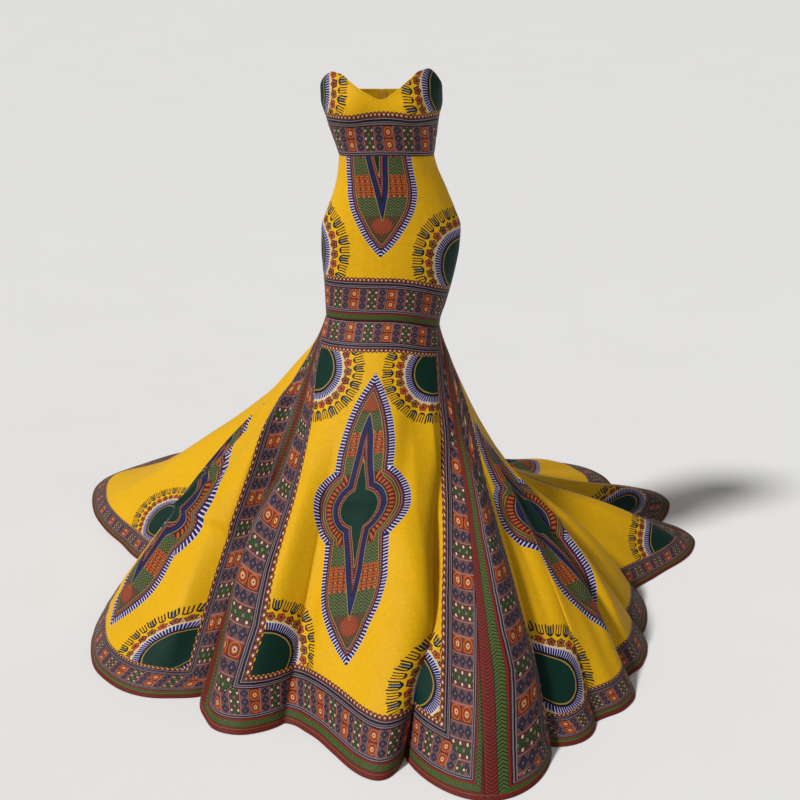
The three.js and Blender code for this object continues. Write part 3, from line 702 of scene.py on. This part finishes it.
def buildPrint():
    vectors = ["Place", "Cloth", "Sides", "Ends", "Medal", "Middle", "Core",
               "Hem sun A", "Hem sun B", "Top sun A", "Top sun B"]
    tree, into, out = newGroup(
        "borderedPrint",
        [(name, "Vector") for name in vectors] + [("Ground", "Color"), ("Sun size", "Float")],
        [("Color", "Color")],
    )
    socket = {item.name: item for item in into.outputs}

    wobble = addNoise(tree, socket["Place"], 45, output="Color")
    drift, swing = parts(tree, wobble.socket, wander)
    drift, swing = drift - wander[0] / 2, swing - wander[1] / 2
    x, up = parts(tree, socket["Cloth"])
    x, up = x + drift, up + swing
    left, right = parts(tree, socket["Sides"])
    low, top = parts(tree, socket["Ends"])
    depth, along = parts(tree, socket["Medal"])
    depth, along = depth + drift * 0.6, along + swing
    xm, q = parts(tree, socket["Middle"])
    coreDepth, down = parts(tree, socket["Core"])
    down = down + swing

    # medallion, from its outline inwards
    bars = ((along / medal["bar"]).fraction() < medal["barShare"]) & depth.between(0.2, 13)
    shade = ramp(depth, 0, 60, [
        (0, "lilac"), (12.8, "black"), (14.4, "maroon"), (23.2, "gold"), (25, "olive"),
    ])
    shade = paint(shade, bars, "navy")
    shade = paint(shade, dotted(along, depth - 18.8, medal["dots"], 1.9), "pink")
    far = choose(q > 0, q, q * -1.08)
    zigzag = abs((abs(xm) / medal["leafBand"]).fraction() - 0.5) * medal["leafBand"]  # herringbone
    slant = ((far + zigzag * 1.1) / medal["leafPitch"]).fraction()
    leafy = coats("leafDark", (slant < 0.42, "leaf"), (slant.between(0.42, 0.58), "gold"),
                  (slant.between(0.76, 0.9), "slate"))
    gridX = ((abs(xm) + 4) / medal["gridWide"]).fraction() - 0.5
    gridY = (far / medal["gridHigh"]).fraction() - 0.5
    petal = reach(gridX * medal["gridWide"], gridY * 19)
    grid = coats("brown", ((abs(gridX) < 0.42) & (abs(gridY) < 0.45), "orange"),
                 (petal.between(3.6, 5.4), "maroon"), (petal < 1.9, "gold"))
    turn = xm.math("ARCTAN2", q) / (2 * math.pi)
    teeth = (turn * medal["petals"]).fraction()
    petals = coats(
        "brown", (teeth.between(0.16, 0.84) & coreDepth.between(-19, -9), "red"),
        (teeth.between(0.3, 0.7) & coreDepth.between(-17, -6), "orange"),
        (coreDepth < -20.5, "gold"), (coreDepth < -22.3, "olive"),
    )
    flower = reach(abs(xm) * 0.9, far - medal["bloomAt"])
    bloom = coats(
        "olive", (flower < medal["bloom"], "rose"),
        ((flower < 20) & (((xm + far) / 7).fraction() < 0.45), "orange"),
        ((flower < 20) & (((xm - far) / 7).fraction() < 0.3), "maroon"),
        ((flower > medal["bloom"]) & ((depth / 7).fraction() < 0.3), "maroon"),
    )
    fill = coats(leafy, (far.between(146, 212), grid), (far > 268, bloom),
                 ((coreDepth > -27) & (far < 96), petals))
    shade = paint(shade, depth > medal["inside"], fill)
    coreShade = ramp(coreDepth, -3, 60, [
        (-3, "gold"), (-1, "navy"), (3, "blue"), (8, "black"), (10, "maroon"),
        (18.6, "gold"), (20, "green"),
    ])
    coreShade = paint(coreShade, dotted(far + abs(xm) * 0.6, coreDepth - 14.4, 6, 1.8), "pink")
    shade = paint(shade, (coreDepth > -2.4) & (depth > medal["inside"]), coreShade)
    result = paint(Field(tree, socket["Ground"]), depth > 0, shade)

    # suns, the nearest of four
    def placeFrom(level, name):
        cx, cy = parts(tree, socket[name])
        return x - cx, level - cy

    nearX, nearY = placeFrom(up, "Hem sun A")
    near = reach(nearX, nearY)
    for level, name in ((up, "Hem sun B"), (down, "Top sun A"), (down, "Top sun B")):
        otherX, otherY = placeFrom(level, name)
        other = reach(otherX, otherY)
        nearer = other < near
        nearX, nearY = choose(nearer, otherX, nearX), choose(nearer, otherY, nearY)
        near = near.math("MINIMUM", other)
    r = near / Field(tree, socket["Sun size"])
    turn = nearY.math("ARCTAN2", nearX) / (2 * math.pi) + 0.5

    def ring(count, middle):  # way across one of count motifs round the sun, and its number
        step = (turn * count).fraction() - 0.5
        return step * (2 * math.pi * middle / count), turn * count

    disc = ramp(r, 0, 100, [(0, "green"), (61, "gold"), (64.5, "black"), (71, "lilac")])
    tickX = ring(sun["ticks"], sun["tickRing"])[0]
    disc = paint(disc, (abs(tickX) + (r - 72) * sun["taper"] < 2.5) & r.between(71, 89), "navy")
    # roses: uneven petals round a dark eye, with pale buds between them
    roseX, roseTurn = ring(sun["roses"], sun["roseRing"])
    roseY = r - sun["roseRing"]
    rose = reach(roseX, roseY)
    lobes = (roseX.math("ARCTAN2", roseY) * 5 + roseTurn).math("SINE")
    which = (roseTurn.math("FLOOR") / 3).fraction()
    tint = coats("rose", (which > 0.3, "olive"), (which > 0.6, "brown"),
                 ((rose + lobes * 1.2).between(4.6, 6.8), "orange"), (rose + lobes < 3.2, "maroon"))
    bud = reach(abs(roseX) - 11.8, roseY + 6)
    result = coats(
        result, ((bud < 4.2) | r.between(89, 93.5), "cream"), (bud < 2.2, "red"),
        (rose + lobes * 1.2 < 10.8, tint),
    )
    # forks that point outwards, wide dark ones and slim brown ones in turn
    forkX, forkTurn = ring(sun["forks"], sun["forkRing"])
    wide = (forkTurn / 2).fraction() > 0.5
    bow = forkX * forkX * 0.07
    height = r - sun["forkFoot"] - bow
    lean = abs(forkX) + (r - sun["forkRing"]) * sun["taper"]
    wideProng = (abs(lean - 3.4) < 1.75) | (abs(lean - 9.4) < 1.85)
    slimProng = (abs(forkX) < 1.35) | (abs(lean - 6.8) < 1.45)
    tips = abs(forkX) * -0.35 + 27
    prong = choose(wide, wideProng, slimProng) & (height > 0) & (height < tips)
    heel = height.between(-2, 3.6) & (lean < choose(wide, 10.6, 8.0))
    result = coats(
        result, (wide & height.between(0, 22) & (abs(forkX) < 2.4), "line"),
        (prong | heel, paint("brown", wide, "greenDark")), (r < 90, disc),
    )

    # border round the panel; past its outer edge its plaits run back again
    sideMost, endMost = left | right, low | top
    onSide = sideMost > endMost
    f = abs((sideMost | endMost) + drift * 0.5 - borderWidth) * -1 + borderWidth
    f = f | ((((sideMost | endMost) - borderWidth) * 0.4 + 88) * (sideMost > borderWidth))
    a = choose(onSide, up / edging["sideStretch"], x)
    border = ramp(f, 0, 120, [
        (0, "brown"), (12, "line"), (14, "black"), (18.5, "line"), (20, "brown"),
        (22.5, "line"), (24, "black"), (26.5, "brown"), (77, "line"), (78.8, "black"),
        (81.5, "line"), (83, "brown"), (86, "red"), (89, "leafDark"), (102, "brown"),
    ])
    laceX = ((a / edging["lace"]).fraction() - 0.5) * edging["lace"]
    lace = reach(laceX, f - edging["laceLine"])
    border = coats(
        border, ((f < 1.8) & (abs(laceX) > 3.2), Field(tree, socket["Ground"])), (lace < 4.6, "rose"),
        (lace < 3, "brown"), (lace < 2, "cream"),
    )
    repeat, rosettes, diamonds = edging["repeat"], edging["rosettes"], edging["diamonds"]
    cell = (a / repeat).fraction() * repeat
    b = f - edging["blocks"]
    half = (b / rosettes).fraction() * rosettes - rosettes / 2
    third = (b / diamonds).fraction() * diamonds - diamonds / 2
    block = ramp(cell, 0, repeat, [
        (0, "brown"), (1.6, "orange"), (22.6, "pink"), (25, "mauve"), (45, "pink"),
        (47, "mauve"), (71, "pink"), (73, "mauve"), (92.5, "pink"),
    ])
    rosette = reach(cell - 12, half)  # two rosettes in an orange block
    block = within(
        block, cell.between(1.6, 22.6), (rosette > 10.8, "rose"), (abs(half) > 11.4, "brown"),
        (rosette.between(6.2, 8.2), "brown"), (rosette < 3.6, "cream"), (rosette < 2, "red"),
    )
    firstLattice = cell.between(25, 45)
    diamond = abs(cell - 83 + firstLattice * 48) / 9.4 + abs(third) / 8
    block = within(
        block, firstLattice | cell.between(73, 92.5), (diamond < 1.02, "black"),
        (diamond < 0.82, "slate"), (diamond < 0.44, "black"), (diamond < 0.24, "pink"),
    )
    weft = ((cell + b) / edging["weft"]).fraction() < 0.4
    weft = weft | (((cell - b) / edging["weft"]).fraction() < 0.3)
    fromLine = cell - edging["dotLine"]
    dot = reach(abs(fromLine) - 8, third)
    middleDot = reach(fromLine, (b / diamonds + 0.5).fraction() * diamonds - diamonds / 2)
    block = within(
        block, cell.between(47, 71), (weft, "brown"),
        (abs(fromLine) < 4.4, paint("leafDark", weft, "leaf")),
        (dot < 3.8, "brown"), (dot < 2.4, "cream"), (middleDot < 2.4, "pink"),
    )
    green = ((a + abs(f - edging["greenPlait"]) * 0.8) / edging["plait"]).fraction()
    red = ((a - abs(f - edging["redPlait"]) * 0.8) / edging["plait"]).fraction()
    onGreen = f.between(89.6, 101.4)
    border = coats(
        border, (b.between(0, edging["blocksWide"]), block), (onGreen & (green < 0.5), "leaf"),
        (onGreen & green.between(0.5, 0.62), "gold"), ((f > 102.4) & (red < 0.5), "red"),
    )
    result = paint(result, f > 0, border)

    # the dyes take unevenly
    mottle = addNoise(tree, socket["Place"], 140, 3) * 0.5
    mottle = mottle + addNoise(tree, socket["Place"], 420) * 0.3
    dim = tree.nodes.new("ShaderNodeMix")
    dim.data_type, dim.blend_type = "RGBA", "MULTIPLY"
    for place, value in ((0, 1), (6, result), (7, mottle * 0.5 + 0.78)):
        feed(dim.inputs[place], value)
    tree.links.new(dim.outputs[2], out.inputs["Color"])
    return tree


def buildCotton():  # wrinkles and weave of a plain cotton, its uneven dye, and a little painted shade in the crumple hollows
    tree, into, out = newGroup(
        "plainCotton", [("Place", "Vector"), ("Thread", "Vector")],
        [("Height", "Float"), ("Fade", "Float"), ("Roughness", "Float")],
    )

    def noiseAt(scale, detail, stretch=1.0):
        mapping = newNode(tree, "Mapping", Scale=(1, 1, stretch))
        tree.links.new(into.outputs["Place"], mapping.inputs["Vector"])
        return addNoise(tree, mapping.outputs[0], scale, detail)

    creases = abs(noiseAt(16, 3, 0.45) - 0.5) * 1.6
    crumple = noiseAt(55, 4)
    x, y = parts(tree, into.outputs["Thread"])
    weave = (x * (2 * math.pi / 0.7)).math("SINE") * (y * (2 * math.pi / 0.7)).math("SINE")
    feed(out.inputs["Height"], creases * 0.55 + crumple * 0.3 + weave * 0.012)
    # mostly random uneven dye, but the crumple's share makes the hollows of the crumple bump a little
    # deeper yellow: a painted shade
    feed(out.inputs["Fade"], noiseAt(7, 4) * 0.7 + crumple * 0.3)
    feed(out.inputs["Roughness"], noiseAt(30, 3) * 0.22 + 0.5)
    return tree


def buildStitches():  # a row of running stitches at a distance from an edge
    tree, into, out = newGroup(
        "stitchRow", [("Edge", "Float"), ("Along", "Float"), ("Distance", "Float")], [("Mask", "Float")],
    )
    edge, along, distance = [Field(tree, into.outputs[name]) for name in ("Edge", "Along", "Distance")]
    row = abs(edge - distance) < 0.45
    feed(out.inputs["Mask"], row & ((along / 3.2).fraction() < 0.74))
    return tree


printGroup, cottonGroup, stitchGroup = buildPrint(), buildCotton(), buildStitches()


# finish of the cotton, and how far the rows of stitches run from the neckline and from the hem, in mm
cotton = {"specular": 0.14, "bump": 0.55, "bumpDepth": 0.004, "neckStitches": 6.0, "hemStitches": 11.0,
          "stitchHeight": 0.25}


def clothMaterial(name, panel):
    material, tree, shader = newMaterial(name)
    nodes, links = tree.nodes, tree.links
    shader.inputs["Specular IOR Level"].default_value = cotton["specular"]
    pattern, weave = nodes.new("ShaderNodeGroup"), nodes.new("ShaderNodeGroup")
    pattern.node_tree, weave.node_tree = printGroup, cottonGroup
    maps = {}
    for mapName in ("cloth", "sides", "ends", "medal", "middle", "core"):
        node = nodes.new("ShaderNodeUVMap")
        node.uv_map = mapName
        maps[mapName] = node.outputs[0]
        links.new(maps[mapName], pattern.inputs[mapName.capitalize()])
    printed = panel["print"]
    offCloth = (8.0, 8.0)  # for a sun that a panel doesn't have
    for label, places in (("Hem sun", printed["hemSuns"]), ("Top sun", printed["topSuns"])):
        spots = [(px / 1000, py / 1000) for px, py in places] + [offCloth, offCloth]
        for letter, spot in zip("AB", spots):
            pattern.inputs[f"{label} {letter}"].default_value = (*spot, 0)
    pattern.inputs["Sun size"].default_value = printed["sunSize"]
    place = objectPlace(tree)
    links.new(place, weave.inputs["Place"])
    links.new(place, pattern.inputs["Place"])
    links.new(maps["cloth"], weave.inputs["Thread"])
    # yellow ground, deeper where the dye took unevenly, and a little deeper in the painted shade of the
    # crumple hollows
    ground = paint("yellowDeep", Field(tree, weave.outputs["Fade"]), "yellow")
    feed(pattern.inputs["Ground"], ground)
    colourOut, height = Field(tree, pattern.outputs["Color"]), Field(tree, weave.outputs["Height"])
    if panel["surface"] is not hipSurface:  # the neckline's and the hem's row of stitches
        onBodice = panel["surface"] is bodiceSurface
        along, up = parts(tree, maps["cloth"])
        edge = parts(tree, maps["core"])[1] if onBodice else up
        stitches = nodes.new("ShaderNodeGroup")
        stitches.node_tree = stitchGroup
        distance = cotton["neckStitches" if onBodice else "hemStitches"]
        for label, value in (("Edge", edge), ("Along", along), ("Distance", distance)):
            feed(stitches.inputs[label], value)
        thread = Field(tree, stitches.outputs["Mask"])
        colourOut = paint(colourOut, thread, "gold")
        height = height + thread * cotton["stitchHeight"]
    feed(shader.inputs["Base Color"], colourOut)
    links.new(weave.outputs["Roughness"], shader.inputs["Roughness"])
    addBump(shader, height, cotton["bump"], cotton["bumpDepth"])
    return material


for node, panel in panels.items():
    material = clothMaterial("printed cotton " + node.replace("_", " "), panel)
    pieces[node].data.materials.append(material)
print("3 of 6: printed cotton made")


def finishNode(nodeName, material):  # a CAD solid keeps its shape and gets a better material
    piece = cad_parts[nodeName]
    if not piece.material_slots:
        piece.data.materials.append(material)
    for slot in piece.material_slots:
        slot.material = material


def tapeMaterial():
    # low is a painted shade for the grooves between the ribs, high the colour of the rib tops
    values = {"ribs": 1400, "unevenness": 0.6, "low": colour(188, 132, 10), "high": colour(222, 166, 30),
              "roughness": 0.8, "bump": 0.4, "bumpDepth": 0.0004}
    material, tree, shader = newMaterial("zip tape")
    shader.inputs["Roughness"].default_value = values["roughness"]
    ribs = newNode(tree, "TexWave", Scale=values["ribs"], Distortion=values["unevenness"])
    ribs.bands_direction = "Z"
    tree.links.new(objectPlace(tree), ribs.inputs["Vector"])
    ridge = Field(tree, ribs.outputs["Fac"])
    # the grooves between the ribs are painted darker than the rib tops: painted shade, over the real bump
    feed(shader.inputs["Base Color"], paint(values["low"], ridge, values["high"]))
    addBump(shader, ridge, values["bump"], values["bumpDepth"])
    return material


def metalMaterial():
    values = {"dark": colour(150, 146, 138), "light": colour(214, 210, 200), "brush": (30, 30, 900),
              "grain": 6, "smooth": 0.2, "rougher": 0.25, "bump": 0.15, "bumpDepth": 0.0002}
    material, tree, shader = newMaterial("zip metal")
    shader.inputs["Metallic"].default_value = 1
    mapping = newNode(tree, "Mapping", Scale=values["brush"])
    tree.links.new(objectPlace(tree), mapping.inputs["Vector"])
    brushed = addNoise(tree, mapping.outputs[0], values["grain"], 4)
    feed(shader.inputs["Base Color"], paint(values["dark"], brushed, values["light"]))
    feed(shader.inputs["Roughness"], brushed * values["rougher"] + values["smooth"])
    addBump(shader, brushed, values["bump"], values["bumpDepth"])
    return material


finishNode("zip_tape", tapeMaterial())
zipMetal = metalMaterial()
finishNode("zip_slider", zipMetal)
finishNode("zip_pull", zipMetal)
print("4 of 6: zip finished")

# pale studio: floor, soft lights and a sky that shows paler than it lights, in metres
studio = {
    "floorSize": 200, "floorGap": 0.0005, "floorTones": (colour(236, 235, 233), colour(239, 238, 237)),
    "floorRoughness": 0.85, "speckle": 3,
    "skyTone": (1, 1, 1, 1), "skyStrength": 0.2, "skySeen": 0.84,
    "aim": (0, 0, -0.45),
    "key": {"from": (-1.5, -1.0, 1.9), "strength": 3.05, "softness": 7},
    "fill": {"place": (3.0, -2.4, 1.4), "size": 2.6, "watts": 4},
}


def makeFloor():
    mesh = bmesh.new()
    bmesh.ops.create_grid(mesh, x_segments=4, y_segments=4, size=studio["floorSize"] / 2)
    height = figure["floor"] / 1000 - studio["floorGap"]
    bmesh.ops.translate(mesh, verts=mesh.verts, vec=(0, 0, height))
    data = bpy.data.meshes.new("studio_floor")
    mesh.to_mesh(data)
    mesh.free()
    material, tree, shader = newMaterial("pale floor")
    speckle = addNoise(tree, objectPlace(tree), studio["speckle"])
    low, high = studio["floorTones"]
    feed(shader.inputs["Base Color"], paint(low, speckle, high))
    shader.inputs["Roughness"].default_value = studio["floorRoughness"]
    data.materials.append(material)
    floor = newObject("studio_floor", data)


def addLight(name, kind, place):
    light = bpy.data.lights.new(name, kind)
    lamp = newObject(name, light)
    lamp.location = place
    aim = Vector(studio["aim"]) - Vector(place)
    lamp.rotation_euler = aim.to_track_quat("-Z", "Y").to_euler()
    return light


makeFloor()
key = addLight("key", "SUN", Vector(studio["aim"]) + Vector(studio["key"]["from"]) * 2)
key.energy = studio["key"]["strength"]
key.angle = math.radians(studio["key"]["softness"])
fill = addLight("fill", "AREA", studio["fill"]["place"])
fill.size, fill.energy = studio["fill"]["size"], studio["fill"]["watts"]
world = bpy.data.worlds.new("studio sky")
world.use_nodes = True
sky = world.node_tree.nodes["Background"]
sky.inputs["Color"].default_value = studio["skyTone"]
rays = world.node_tree.nodes.new("ShaderNodeLightPath")  # the backdrop shows white, and lights softly
seen = Field(world.node_tree, rays.outputs["Is Camera Ray"])
strength = seen * (studio["skySeen"] - studio["skyStrength"]) + studio["skyStrength"]
feed(sky.inputs["Strength"], strength)
bpy.context.scene.world = world
bpy.context.scene.view_settings.view_transform = "Standard"
print("5 of 6: studio set up")
